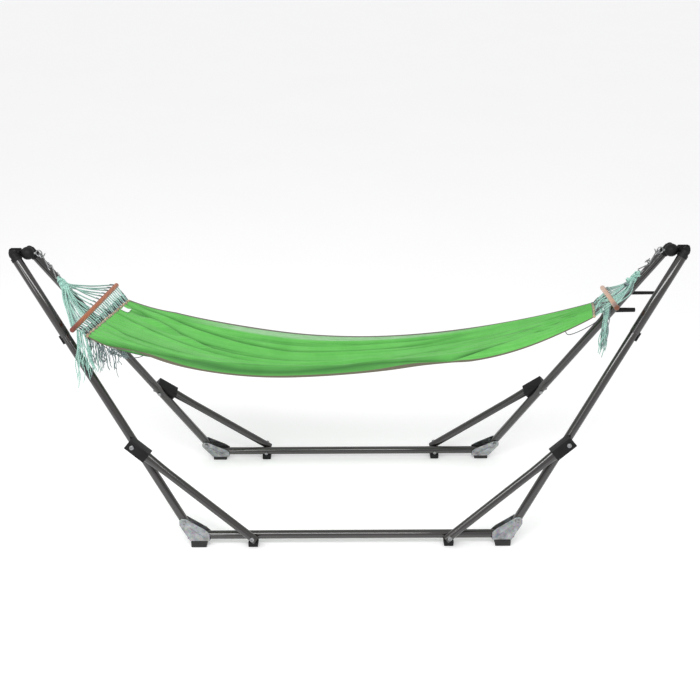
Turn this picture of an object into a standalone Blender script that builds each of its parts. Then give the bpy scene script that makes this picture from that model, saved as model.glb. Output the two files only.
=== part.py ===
"""Folding hammock stand with its hammock.

Two side frames stand like a pair of A-trestles and hinge together at their
tops about one long axis.  The cloth hammock hangs from eyes at the two tops.
Units are metres, +Z is up, the floor is z = 0 and the origin is the middle of
the footprint.  +X runs along the hammock.
"""
import math

import bmesh
import bpy
from mathutils import Matrix, Vector

# ---------------------------------------------------------------- sizes
TOP_HEIGHT = 0.990          # hinge axis above the floor
RAIL_HALF_SPREAD = 0.278    # rail centre line from the middle plane
RAIL_HEIGHT = 0.036         # rail centre line above the floor
RAIL_HALF_LENGTH = 0.572
TUBE_R = 0.015              # rails and legs
STRUT_R = 0.014
WALL = 0.0015

PIVOT_X = 0.585             # leg pivot bolt
PIVOT_RISE = 0.051          # pivot above the rail centre line, in the frame
STRUT_FOOT_X = 0.345        # strut bolt on the rail
STRUT_MEET = 0.302          # share of the leg at which the strut is bolted
SADDLE_LENGTH = 0.062       # below its bolt, along the strut
SADDLE_TOP = 0.020          # above its bolt
SADDLE_WIDTH = 0.038
SADDLE_WALL = 0.003
SADDLE_EAR = 0.003          # how near the leg's centre plane its ears reach
BALL_X = 1.080              # far leg's ball knuckle
BALL_PROUD = 0.007
BALL_R = TUBE_R + BALL_PROUD
KNUCKLE_PROUD = 0.002       # knuckle wall outside the tube
KNUCKLE_R = TUBE_R + KNUCKLE_PROUD           # near leg's ribbed knuckle
KNUCKLE_SPARE = 0.006       # barrel length beyond the tube width
KNUCKLE_LENGTH = 2 * TUBE_R + KNUCKLE_SPARE
KNUCKLE_RIBS = 5
FRAME_SPARE = 0.009         # half the gap between the tubes when the frames are closed
FRAME_OFFSET = TUBE_R + FRAME_SPARE

GAP = 0.0003                # between pieces that touch
FIT = 0.0003                # round a shank in its hole
BOLT_R = 0.004
HEAD_R = 0.008
HEAD_H = 0.004
PLATE = 0.002               # gusset sheet
FOOT_LENGTH = 0.054
FOOT_OUT = 0.026            # pads reach this far outboard of the rail
FOOT_IN = 0.012             # and this far inboard, so that closed frames clear
FOOT_TALL = 0.026
FOOT_X = 0.536
STRUT_PAD_LENGTH = 0.034

EYE_MAJOR = 0.010
EYE_WIRE = 0.0022
EYE_SHANK_R = 0.0035
HOOK_WIRE = 0.0020
HOOK_BEND = 0.0078
HOOK_LENGTH = 0.042
LINK_LENGTH = 0.038
HOOK_LEAN = 0.35          # share of the half bar by which the hooks pull towards its near end

BAR_R = 0.0085
LEFT_BAR = (Vector((-0.877, 0.0, TOP_HEIGHT - 0.194)), Vector((0.024, 0.202, 0.0)))
RIGHT_BAR = (Vector((0.885, -0.023, TOP_HEIGHT - 0.160)), Vector((0.031, 0.188, -0.039)))
LEFT_HEM = (Vector((-0.835, 0.0, TOP_HEIGHT - 0.236)), Vector((0.036, 0.155, 0.0)))
RIGHT_HEM = (Vector((0.841, 0.0, TOP_HEIGHT - 0.209)), Vector((0.018, 0.080, -0.016)))
BED_LOW = (-0.150, TOP_HEIGHT - 0.418)   # x and z of the lowest point of the cloth
BED_RISE = 0.050            # edges above the middle, half way along
BED_WAIST = 0.020           # how much the cloth draws in half way along
BED_THICK = 0.008
CORD_WEB = 0.006
TASSEL_LONG = 0.215
TASSEL_R = 0.016
TASSEL_CLEAR = 0.006

SIDES = 16
SMALL_SIDES = 10

# tilt of each frame from upright, so that its plane passes the hinge axis
# at FRAME_OFFSET
RISE = TOP_HEIGHT - RAIL_HEIGHT
TILT = math.atan2(RAIL_HALF_SPREAD, RISE) - math.asin(
    FRAME_OFFSET / math.hypot(RAIL_HALF_SPREAD, RISE))
TOP_V = RISE * math.cos(TILT) + RAIL_HALF_SPREAD * math.sin(TILT)
NEAR_TOP_X = BALL_X + BALL_R + GAP + KNUCKLE_LENGTH / 2
STRUT_Q = TUBE_R + STRUT_R + 0.0025

# ---------------------------------------------------------------- scene
for old in list(bpy.data.objects):
    bpy.data.objects.remove(old, do_unlink=True)


def collection(name):
    made = bpy.data.collections.new(name)
    bpy.context.scene.collection.children.link(made)
    return made


PARTS = collection("hammock_on_stand")
CUTTERS = collection("cutters")


def material(name, colour, rough, metal=0.0):
    made = bpy.data.materials.new(name)
    made.use_nodes = True
    shader = made.node_tree.nodes["Principled BSDF"]
    shader.inputs["Base Color"].default_value = (*colour, 1.0)
    shader.inputs["Roughness"].default_value = rough
    shader.inputs["Metallic"].default_value = metal
    return made


PAINT = ("paint", (0.020, 0.016, 0.015), 0.32)
PLASTIC = ("plastic", (0.012, 0.012, 0.013), 0.55)
RUBBER = ("rubber", (0.015, 0.015, 0.015), 0.80)
ZINC = ("zinc", (0.62, 0.63, 0.64), 0.36, 1.0)
STEEL = ("steel", (0.50, 0.51, 0.52), 0.30, 1.0)
WOOD = ("wood", (0.42, 0.13, 0.04), 0.40)
CLOTH = ("cloth", (0.12, 0.50, 0.09), 0.90)
CORD = ("cord", (0.46, 0.68, 0.60), 0.90)


def finish(obj, look, place, parent=None):
    """Name, colour, place and, for a moving piece, hang it on its axis."""
    obj.data.materials.clear()
    obj.data.materials.append(material(obj.name, *look[1:]))
    obj.matrix_world = place
    if parent is not None:
        obj.parent = parent
        obj.matrix_parent_inverse = parent.matrix_basis.inverted()
    return obj


def mesh_object(name, bm, home=None):
    bmesh.ops.recalc_face_normals(bm, faces=bm.faces[:])
    if bm.calc_volume(signed=True) < 0.0:
        bmesh.ops.reverse_faces(bm, faces=bm.faces[:])
    data = bpy.data.meshes.new(name)
    bm.to_mesh(data)
    bm.free()
    data.shade_smooth()
    data.set_sharp_from_angle(angle=math.radians(32))
    obj = bpy.data.objects.new(name, data)
    (home or PARTS).objects.link(obj)
    return obj


def baked(obj, home=None):
    """The evaluated shape of obj as a plain welded mesh object."""
    graph = bpy.context.evaluated_depsgraph_get()
    data = bpy.data.meshes.new_from_object(obj.evaluated_get(graph))
    bm = bmesh.new()
    bm.from_mesh(data)
    bmesh.ops.remove_doubles(bm, verts=bm.verts[:], dist=1e-6)
    name, place = obj.name, obj.matrix_world.copy()
    bpy.data.objects.remove(obj, do_unlink=True)
    made = mesh_object(name, bm, home)
    made.matrix_world = place
    return made


def turned(name, profile, steps=SIDES, home=None):
    """A profile of (radius, height) turned about Z with a Screw modifier."""
    bm = bmesh.new()
    points = [bm.verts.new((r, 0.0, z)) for r, z in profile]
    on_axis = profile[0][0] == 0.0 and profile[-1][0] == 0.0
    for a, b in zip(points, points[1:] + ([] if on_axis else points[:1])):
        bm.edges.new((a, b))
    data = bpy.data.meshes.new(name)
    bm.to_mesh(data)
    bm.free()
    obj = bpy.data.objects.new(name, data)
    (home or PARTS).objects.link(obj)
    screw = obj.modifiers.new("turn", "SCREW")
    screw.steps = screw.render_steps = steps
    screw.use_merge_vertices = True
    screw.merge_threshold = 0.00001
    return baked(obj, home)


def rod(name, radius, low, high, steps=SIDES, home=None):
    return turned(name, [(0.0, high), (radius, high), (radius, low), (0.0, low)],
                  steps, home)


def pipe(name, radius, low, high):
    inner = radius - WALL
    return turned(name, [(radius, high), (radius, low), (inner, low), (inner, high)])


def block(name, low, high, home=None):
    bm = bmesh.new()
    bmesh.ops.create_cube(bm, size=1.0)
    size = Vector(high) - Vector(low)
    middle = (Vector(high) + Vector(low)) / 2
    bmesh.ops.scale(bm, vec=size, verts=bm.verts[:])
    bmesh.ops.translate(bm, vec=middle, verts=bm.verts[:])
    return mesh_object(name, bm, home)


def slab(name, outline, low, high, home=None):
    """A flat outline extruded from low to high along its local Z."""
    curve = bpy.data.curves.new(name, "CURVE")
    curve.dimensions = "2D"
    curve.fill_mode = "BOTH"
    curve.extrude = (high - low) / 2
    line = curve.splines.new("POLY")
    line.points.add(len(outline) - 1)
    line.use_cyclic_u = True
    for point, (x, y) in zip(line.points, outline):
        point.co = (x, y, 0.0, 1.0)
    obj = bpy.data.objects.new(name, curve)
    (home or PARTS).objects.link(obj)
    made = baked(obj, home)
    made.data.transform(Matrix.Translation((0, 0, (high + low) / 2)))
    return made


def wire(name, points, radius, cyclic=False, rounds=2):
    curve = bpy.data.curves.new(name, "CURVE")
    curve.dimensions = "3D"
    curve.bevel_depth = radius
    curve.bevel_resolution = rounds
    curve.use_fill_caps = True
    line = curve.splines.new("POLY")
    line.points.add(len(points) - 1)
    line.use_cyclic_u = cyclic
    for spot, point in zip(line.points, points):
        spot.co = (*point, 1.0)
    obj = bpy.data.objects.new(name, curve)
    PARTS.objects.link(obj)
    return baked(obj)


def cut(obj, cutter, place, kind="DIFFERENCE"):
    """Cut obj (not yet placed) with cutter set at place in obj's own space."""
    cutter.data.transform(place)
    cutter.hide_render = True
    cutter.display_type = "WIRE"
    change = obj.modifiers.new(cutter.name, "BOOLEAN")
    change.object = cutter
    change.operation = kind
    change.solver = "EXACT"
    made = baked(obj)
    return made


def along(start, end):
    """Matrix that carries local +Z onto the line from start to end."""
    start, end = Vector(start), Vector(end)
    return Matrix.Translation(start) @ (end - start).to_track_quat("Z", "X").to_matrix().to_4x4()


def frame_matrix(yaw):
    """Frame space (u along the rail, v up the frame, q outboard) to world."""
    near = Matrix(((1, 0, 0, 0),
                   (0, math.sin(TILT), -math.cos(TILT), -RAIL_HALF_SPREAD),
                   (0, math.cos(TILT), math.sin(TILT), RAIL_HEIGHT),
                   (0, 0, 0, 1)))
    return Matrix.Rotation(yaw, 4, "Z") @ near


def axis_empty(name):
    empty = bpy.data.objects.new(name, None)
    empty.location = (0.0, 0.0, TOP_HEIGHT)
    PARTS.objects.link(empty)
    return empty


FAR_AXIS = axis_empty("far_frame_axis")
HAMMOCK_AXIS = axis_empty("hammock_axis")
bpy.context.view_layer.update()

ACROSS = Matrix.Rotation(math.pi / 2, 4, "Y")     # local Z onto +X


def bolt(name, low, high):
    """Shank with a head at its outboard end and a nut at its inboard end."""
    return turned(name, [(0.0, high + HEAD_H), (HEAD_R * 0.7, high + HEAD_H),
                         (HEAD_R, high + HEAD_H * 0.45), (HEAD_R, high),
                         (BOLT_R, high), (BOLT_R, low), (HEAD_R * 0.9, low),
                         (HEAD_R * 0.9, low - HEAD_H), (0.0, low - HEAD_H)],
                  SMALL_SIDES)


def drill(obj, radius, at, low, high):
    tool = rod("drill_" + obj.name, radius, low, high, SMALL_SIDES, CUTTERS)
    return cut(obj, tool, at)


def build_frame(label, yaw, parent):
    space = frame_matrix(yaw)
    near = label == "near"

    rail = pipe(label + "_rail", TUBE_R, -RAIL_HALF_LENGTH, RAIL_HALF_LENGTH)
    rail.data.transform(ACROSS)
    hole = BOLT_R + FIT
    for s in (-1, 1):
        rail = drill(rail, hole, Matrix.Translation((s * STRUT_FOOT_X, 0, 0)), -0.03, 0.03)
    finish(rail, PAINT, space, parent)

    for s in (-1, 1):
        side = "left" if (s < 0) == near else "right"
        name = label + "_" + side + "_"
        pivot = Vector((s * PIVOT_X, PIVOT_RISE, 0.0))
        top = Vector((s * (NEAR_TOP_X if near else BALL_X), TOP_V, 0.0))
        run = (top - pivot).normalized()
        length = (top - pivot).length
        meet = pivot.lerp(top, STRUT_MEET)
        foot = Vector((s * STRUT_FOOT_X, 0.0, STRUT_Q))
        head = Vector((meet.x, meet.y, STRUT_Q))
        lean = (head - foot).normalized()
        reach = (head - foot).length
        leg_place = along(pivot, top)
        strut_place = along(foot, head)

        # leg: open tube from just below its pivot to just under its knuckle
        top_clear = BALL_R + 0.004
        if near:
            # the barrel's far corner, seen along the leg, within the tube's width
            chord = math.sqrt(KNUCKLE_R ** 2 - FRAME_SPARE ** 2)
            top_clear = KNUCKLE_LENGTH / 2 * abs(run.x) + chord * abs(run.y)
        leg = pipe(name + "leg", TUBE_R, -0.012, length - top_clear)
        leg.data.transform(leg_place)
        leg = drill(leg, hole, Matrix.Translation(pivot), -0.03, 0.03)
        leg = drill(leg, hole, Matrix.Translation(meet), -0.03, 0.03)
        finish(leg, PAINT, space, parent)

        # knuckle: plug in the tube, joined to a ribbed barrel or a ball
        plug_r = TUBE_R - WALL - GAP
        plug = rod(name + "top", plug_r, length - top_clear - 0.030, length - (0.004 if near else -0.004))
        plug.data.transform(leg_place)
        hinge = Vector((top.x, TOP_V, -FRAME_OFFSET))
        if near:
            ring = KNUCKLE_LENGTH / (2 * KNUCKLE_RIBS)
            rim = []
            for n in range(KNUCKLE_RIBS):
                z = KNUCKLE_LENGTH / 2 - 2 * ring * n
                rim += [(KNUCKLE_R, z), (KNUCKLE_R, z - ring),
                        (KNUCKLE_R - 0.0015, z - ring), (KNUCKLE_R - 0.0015, z - 2 * ring)]
            barrel = turned("barrel_" + name, [(0.0, KNUCKLE_LENGTH / 2)] + rim
                            + [(0.0, -KNUCKLE_LENGTH / 2)], SIDES, CUTTERS)
            barrel_place = Matrix.Translation(hinge) @ ACROSS
            arm = rod("arm_" + name, 0.011, 0.0, FRAME_OFFSET, SMALL_SIDES, CUTTERS)
        else:
            bm = bmesh.new()
            bmesh.ops.create_uvsphere(bm, u_segments=SIDES, v_segments=12, radius=BALL_R)
            barrel = mesh_object("ball_" + name, bm, CUTTERS)
            barrel_place = Matrix.Translation(hinge) @ ACROSS
            arm = rod("arm_" + name, 0.012, 0.0, FRAME_OFFSET, SMALL_SIDES, CUTTERS)
        plug = cut(plug, barrel, barrel_place, "UNION")
        plug = cut(plug, arm, Matrix.Translation(hinge), "UNION")
        plug = drill(plug, EYE_SHANK_R + FIT, Matrix.Translation(hinge) @ ACROSS, -0.05, 0.05)
        finish(plug, PLASTIC, space, parent)

        # gusset: folded sheet that holds the leg's pivot and cradles the rail
        inner = TUBE_R + GAP
        outer = inner + PLATE
        x = s
        outline = [(x * 0.497, -outer), (x * 0.566, -outer), (x * 0.602, PIVOT_RISE - 0.010),
                   (x * 0.602, PIVOT_RISE + 0.006), (x * 0.594, PIVOT_RISE + 0.015),
                   (x * 0.578, PIVOT_RISE + 0.013), (x * 0.512, 0.024), (x * 0.497, 0.010)]
        if s < 0:
            outline.reverse()
        gusset = slab(name + "gusset", outline, -outer, outer)
        channel = block("channel_" + name, (-0.2, -inner, -inner), (0.2, 0.2, inner), CUTTERS)
        gusset = cut(gusset, channel, Matrix.Translation((s * FOOT_X, 0, 0)))
        gusset = drill(gusset, hole, Matrix.Translation(pivot), -0.03, 0.03)
        finish(gusset, ZINC, space, parent)

        # rubber foot under the gusset, its top sloped to the folded sheet
        pad = block(name + "foot", (s * FOOT_X - FOOT_LENGTH / 2, -RAIL_HALF_SPREAD - FOOT_OUT, 0.0),
                    (s * FOOT_X + FOOT_LENGTH / 2, -RAIL_HALF_SPREAD + FOOT_IN, FOOT_TALL))
        seat = block("seat_" + name, (-0.1, -outer - GAP, -outer - GAP - 0.03),
                     (0.1, 0.1, outer + GAP + 0.03), CUTTERS)
        pad = cut(pad, seat, frame_matrix(0.0) @ Matrix.Translation((s * FOOT_X, 0, 0)))
        finish(pad, RUBBER, Matrix.Rotation(yaw, 4, "Z"), parent)

        # strut with its foot, saddle and bolts
        strut = pipe(name + "strut", STRUT_R, -0.015, reach + 0.008)
        strut.data.transform(strut_place)
        strut = drill(strut, hole, Matrix.Translation(foot), -0.03, 0.03)
        strut = drill(strut, hole, Matrix.Translation(head), -0.03, 0.03)
        finish(strut, PAINT, space, parent)

        stand = block(name + "strut_foot",
                      (s * STRUT_FOOT_X - STRUT_PAD_LENGTH / 2, -RAIL_HALF_SPREAD - FOOT_OUT, 0.0),
                      (s * STRUT_FOOT_X + STRUT_PAD_LENGTH / 2, -RAIL_HALF_SPREAD + FOOT_IN,
                       RAIL_HEIGHT - TUBE_R - GAP))
        finish(stand, PLASTIC, Matrix.Rotation(yaw, 4, "Z"), parent)

        # saddle: boot on the strut's top that also straddles the leg
        saddle = block(name + "strut_saddle", (-SADDLE_WIDTH / 2, SADDLE_EAR, reach - SADDLE_LENGTH),
                       (SADDLE_WIDTH / 2, STRUT_Q + STRUT_R + SADDLE_WALL, reach + SADDLE_TOP))
        beside = Vector((lean.y, -lean.x, 0.0))
        saddle.data.transform(Matrix(((beside.x, 0, lean.x, foot.x), (beside.y, 0, lean.y, foot.y),
                                      (0, 1, 0, 0), (0, 0, 0, 1))))
        leg_bore = rod("leg_bore_" + name, TUBE_R + GAP, -0.3, 0.3, SIDES, CUTTERS)
        saddle = cut(saddle, leg_bore, along(meet, top))
        strut_bore = rod("strut_bore_" + name, STRUT_R + GAP, -0.2, reach + 0.008 + GAP, SIDES, CUTTERS)
        saddle = cut(saddle, strut_bore, strut_place)
        saddle = drill(saddle, hole, Matrix.Translation(meet), -0.1, 0.1)
        finish(saddle, PLASTIC, space, parent)

        finish(bolt(name + "pivot_bolt", -outer - GAP, outer + GAP), STEEL,
               space @ Matrix.Translation(pivot), parent)
        finish(bolt(name + "strut_bolt", -TUBE_R - GAP, STRUT_Q + STRUT_R + GAP), STEEL,
               space @ Matrix.Translation((foot.x, foot.y, 0.0)), parent)
        finish(bolt(name + "saddle_bolt", -TUBE_R - GAP, STRUT_Q + STRUT_R + SADDLE_WALL + GAP), STEEL,
               space @ Matrix.Translation(meet), parent)

        if near:
            # snap clip on the leg's outer side
            spot = pivot.lerp(top, 0.70)
            out = Vector((s * abs(run.y), -abs(run.x), 0.0))
            clip = block(name + "leg_clip", (-0.007, TUBE_R - 0.004, -0.016), (0.007, TUBE_R + 0.0055, 0.016))
            turn = Matrix((
                (out.cross(run).x, out.x, run.x, spot.x),
                (out.cross(run).y, out.y, run.y, spot.y),
                (out.cross(run).z, out.z, run.z, spot.z),
                (0, 0, 0, 1)))
            clip.data.transform(turn)
            bore = rod("clip_bore_" + name, TUBE_R + GAP, -0.1, 0.1, SIDES, CUTTERS)
            clip = cut(clip, bore, along(spot, top))
            finish(clip, PLASTIC, space, parent)
        elif side == "right":
            # two short arms that point outward from the far right leg
            for word, share, radius, reach_x in (("upper", 0.792, 0.0065, 0.112),
                                                 ("lower", 0.712, 0.0090, 0.082)):
                spot = pivot.lerp(top, share)
                arm = turned("side_arm_" + word, [(0.0, reach_x), (radius * 0.9, reach_x), (radius, 0.012),
                                                  (radius, 0.0), (0.0, 0.0)], SMALL_SIDES)
                arm.data.transform(Matrix.Translation(spot) @ Matrix.Rotation(s * math.pi / 2, 4, "Y"))
                bore = rod("arm_bore_" + word, TUBE_R + GAP, -0.1, 0.1, SIDES, CUTTERS)
                arm = cut(arm, bore, along(spot, top))
                finish(arm, PLASTIC, space, parent)


build_frame("near", 0.0, None)
build_frame("far", math.pi, FAR_AXIS)


# ---------------------------------------------------------------- hammock
def s_hook(name, start, run, side, length):
    """S-shaped wire hook; its two bends turn about start and start + length."""
    bends = 8
    points = [(0.006, -HOOK_BEND)]
    for n in range(bends + 1):
        a = math.pi * n / bends
        points.append((-HOOK_BEND * math.sin(a), -HOOK_BEND * math.cos(a)))
    for n in range(bends + 1):
        a = math.pi * n / bends
        points.append((length + HOOK_BEND * math.sin(a), -HOOK_BEND * math.cos(a)))
    points.append((length - 0.006, HOOK_BEND))
    return wire(name, [start + run * a + side * b for a, b in points], HOOK_WIRE)


for s, label, bar, hem in ((-1, "left", LEFT_BAR, LEFT_HEM), (1, "right", RIGHT_BAR, RIGHT_HEM)):
    eye_x = BALL_X - BALL_R - EYE_MAJOR - EYE_WIRE - 0.003
    eye_at = Vector((s * eye_x, 0.0, TOP_HEIGHT))
    shank_end = NEAR_TOP_X + KNUCKLE_LENGTH / 2 + GAP
    eye = turned(label + "_eye", [(0.0, shank_end + 0.004), (0.007, shank_end + 0.004), (0.007, shank_end),
                                  (EYE_SHANK_R, shank_end), (EYE_SHANK_R, eye_x + EYE_MAJOR),
                                  (0.0, eye_x + EYE_MAJOR)], SMALL_SIDES)
    eye.data.transform(Matrix.Rotation(s * math.pi / 2, 4, "Y"))
    bpy.ops.mesh.primitive_torus_add(major_radius=EYE_MAJOR, minor_radius=EYE_WIRE,
                                     major_segments=20, minor_segments=8)
    torus = bpy.context.object
    torus.name = "ring_" + label
    for home in list(torus.users_collection):
        home.objects.unlink(torus)
    CUTTERS.objects.link(torus)
    eye = cut(eye, torus, Matrix.Translation((s * eye_x, 0, 0)) @ Matrix.Rotation(math.pi / 2, 4, "X"), "UNION")
    finish(eye, STEEL, Matrix.Translation((0, 0, TOP_HEIGHT)))

    aim = bar[0] - bar[1] * HOOK_LEAN
    hook_at = eye_at + Vector((aim.x - eye_at.x, 0.0, aim.z - eye_at.z)).normalized() * EYE_MAJOR
    pull = (aim - hook_at).normalized()
    across = (Vector((0, 1, 0)) - pull * pull.y).normalized()
    up = pull.cross(across)
    finish(s_hook(label + "_upper_hook", hook_at, pull, across, HOOK_LENGTH), STEEL,
           Matrix.Identity(4), HAMMOCK_AXIS)
    link_at = hook_at + pull * (HOOK_LENGTH + HOOK_BEND)
    finish(s_hook(label + "_lower_hook", link_at, pull, up, LINK_LENGTH), STEEL,
           Matrix.Identity(4), HAMMOCK_AXIS)

    # suspension cords as one flat fan from the lower hook to the bar
    knot = link_at + pull * (LINK_LENGTH + HOOK_BEND + HOOK_WIRE + 0.0008)
    bar_end = bar[0] - pull * (BAR_R + 0.0012)
    half = bar[1] * 0.93
    bm = bmesh.new()
    bmesh.ops.create_cube(bm, size=1.0)
    wide = half.normalized()
    thick = pull.cross(wide).normalized() * (CORD_WEB / 2)
    for vert in bm.verts:
        x, y, z = vert.co
        if x < 0:
            vert.co = knot + wide * (0.016 * y) + thick * (2 * z)
        else:
            vert.co = bar_end + half * (2 * y) + thick * (2 * z)
    fan = mesh_object(label + "_end_cords", bm)
    finish(fan, CORD, Matrix.Identity(4), HAMMOCK_AXIS)

    stick = rod(label + "_spreader_bar", BAR_R, -bar[1].length, bar[1].length)
    finish(stick, WOOD, along(bar[0], bar[0] + bar[1]), HAMMOCK_AXIS)

    # tassel that hangs from the near part of the bar; the left one hangs
    # just outside the near leg
    spot = 0.35
    if s < 0:
        side_x = -bar[0].x + 0.8 * bar[1].x
        rise = TOP_V - (TOP_V - PIVOT_RISE) * (NEAR_TOP_X - side_x) / (NEAR_TOP_X - PIVOT_X)
        leg_y = RAIL_HALF_SPREAD - rise * math.sin(TILT)
        spot = (leg_y + TUBE_R + TASSEL_R + TASSEL_CLEAR) / bar[1].y
    hang = bar[0] - bar[1] * spot
    drop = turned(label + "_tassel", [(0.0, 0.0), (TASSEL_R * 0.5, -0.004), (TASSEL_R, -0.050),
                                      (TASSEL_R * 0.9, -TASSEL_LONG * 0.7), (TASSEL_R * 0.4, -TASSEL_LONG),
                                      (0.0, -TASSEL_LONG)], SMALL_SIDES)
    finish(drop, CORD, Matrix.Translation(hang + Vector((0, 0, -BAR_R - 0.002))), HAMMOCK_AXIS)

# cloth bed: a grid laid along the sag line, then given its thickness
bm = bmesh.new()
bmesh.ops.create_grid(bm, x_segments=28, y_segments=8, size=1.0)
low_x, low_z = BED_LOW
for vert in bm.verts:
    share = (vert.co.x + 1) / 2
    t = vert.co.y
    left = LEFT_HEM[0] + LEFT_HEM[1] * t
    right = RIGHT_HEM[0] + RIGHT_HEM[1] * t
    x = left.x + (right.x - left.x) * share
    y = left.y + (right.y - left.y) * share
    y -= t * BED_WAIST * math.sin(math.pi * share)
    mid_x = LEFT_HEM[0].x + (RIGHT_HEM[0].x - LEFT_HEM[0].x) * share
    end = LEFT_HEM[0] if mid_x < low_x else RIGHT_HEM[0]
    z = low_z + (end.z - low_z) * ((mid_x - low_x) / (end.x - low_x)) ** 2
    z += BED_RISE * t * t * math.sin(math.pi * share)
    z += (right.z - RIGHT_HEM[0].z) * share ** 4
    vert.co = (x, y, z)
bed = mesh_object("hammock_bed", bm)
solid = bed.modifiers.new("thickness", "SOLIDIFY")
solid.thickness = BED_THICK
solid.offset = 0.0
finish(bed, CLOTH, Matrix.Identity(4), HAMMOCK_AXIS)
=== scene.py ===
"""Folding hammock stand: the finished looks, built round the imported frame."""
import math
import random

import bpy
from mathutils import Matrix, Vector


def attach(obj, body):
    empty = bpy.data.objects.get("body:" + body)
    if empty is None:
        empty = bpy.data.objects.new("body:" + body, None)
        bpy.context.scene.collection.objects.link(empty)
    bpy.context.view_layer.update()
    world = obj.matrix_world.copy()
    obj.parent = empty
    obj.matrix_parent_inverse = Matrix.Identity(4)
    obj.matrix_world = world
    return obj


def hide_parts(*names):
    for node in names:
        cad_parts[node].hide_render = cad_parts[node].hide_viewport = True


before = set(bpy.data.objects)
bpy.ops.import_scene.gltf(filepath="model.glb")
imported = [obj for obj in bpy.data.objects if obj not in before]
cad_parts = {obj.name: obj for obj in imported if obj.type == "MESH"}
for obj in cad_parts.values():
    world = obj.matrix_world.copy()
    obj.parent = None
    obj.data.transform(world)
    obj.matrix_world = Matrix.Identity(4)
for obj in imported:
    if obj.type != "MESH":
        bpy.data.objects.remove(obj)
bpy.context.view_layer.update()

# ------------------------------------------------------------ camera
CAMERA_BACK, CAMERA_UP, CAMERA_PITCH = 2.788, 1.950, 25.43
CAMERA_LENS = 44.9
CAMERA_ROLL = -0.005
eye_data = bpy.data.cameras.new("studio_camera")
eye_data.lens = CAMERA_LENS
eye_data.sensor_width = 36.0
camera = bpy.data.objects.new("studio_camera", eye_data)
camera.location = (0.0, -CAMERA_BACK, CAMERA_UP)
looking = Matrix.Rotation(math.radians(90.0 - CAMERA_PITCH), 3, "X") @ Matrix.Rotation(CAMERA_ROLL, 3, "Z")
camera.rotation_euler = looking.to_euler()
bpy.context.scene.collection.objects.link(camera)
bpy.context.scene.camera = camera
bpy.context.scene.view_settings.view_transform = "Standard"

# ------------------------------------------------------------ sizes (metres)
TOP_HEIGHT = 0.990
HALF_SPREAD = 0.278
RAIL_HEIGHT = 0.036
RAIL_HALF = 0.572
TUBE_R, STRUT_R, WALL = 0.015, 0.014, 0.0015
FRAME_OFFSET = 0.024
PIVOT_X, PIVOT_RISE = 0.585, 0.051
STRUT_FOOT_X, STRUT_MEET = 0.345, 0.302
BALL_X, BALL_R = 1.080, 0.022
KNUCKLE_R, KNUCKLE_LENGTH = 0.017, 0.036
GAP = 0.0003
PLATE = 0.002
STRUT_Q = TUBE_R + STRUT_R + 0.0025
RISE = TOP_HEIGHT - RAIL_HEIGHT
TILT = math.atan2(HALF_SPREAD, RISE) - math.asin(
    FRAME_OFFSET / math.hypot(HALF_SPREAD, RISE))
TOP_V = RISE * math.cos(TILT) + HALF_SPREAD * math.sin(TILT)
NEAR_TOP_X = BALL_X + BALL_R + GAP + KNUCKLE_LENGTH / 2
EYE_MAJOR, EYE_WIRE = 0.010, 0.0022
HOOK_WIRE, HOOK_BEND, HOOK_LENGTH, LINK_LENGTH, HOOK_LEAN = 0.0020, 0.0078, 0.042, 0.038, 0.35
BAR_R = 0.0085
BARS = {"left": (Vector((-0.877, 0.0, 0.796)), Vector((0.024, 0.202, 0.0))),
        "right": (Vector((0.885, -0.023, 0.830)), Vector((0.031, 0.188, -0.039)))}
HEMS = {"left": (Vector((-0.835, 0.0, 0.754)), Vector((0.036, 0.155, 0.0))),
        "right": (Vector((0.841, 0.0, 0.781)), Vector((0.018, 0.080, -0.016)))}
BED_LOW = (-0.150, 0.572)
BED_RISE, BED_WAIST = 0.050, 0.020
SIDE = {-1: "left", 1: "right"}
chance = random.Random(11)


# ------------------------------------------------------------ shader maths
class Value:
    """One output socket; arithmetic on it adds Math nodes."""

    def __init__(self, look, socket):
        self.look, self.socket = look, socket

    def _math(self, operation, a, b=None):
        values = [a] if b is None else [a, b]
        return self.look.node("ShaderNodeMath", {"operation": operation}, values)

    def __add__(self, other): return self._math("ADD", self, other)
    def __radd__(self, other): return self._math("ADD", other, self)
    def __sub__(self, other): return self._math("SUBTRACT", self, other)
    def __rsub__(self, other): return self._math("SUBTRACT", other, self)
    def __mul__(self, other): return self._math("MULTIPLY", self, other)
    def __rmul__(self, other): return self._math("MULTIPLY", other, self)
    def __gt__(self, other): return self._math("GREATER_THAN", self, other)
    def sine(self): return self._math("SINE", self)
    def size(self): return self._math("ABSOLUTE", self)
    def power(self, n): return self._math("POWER", self, n)


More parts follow.
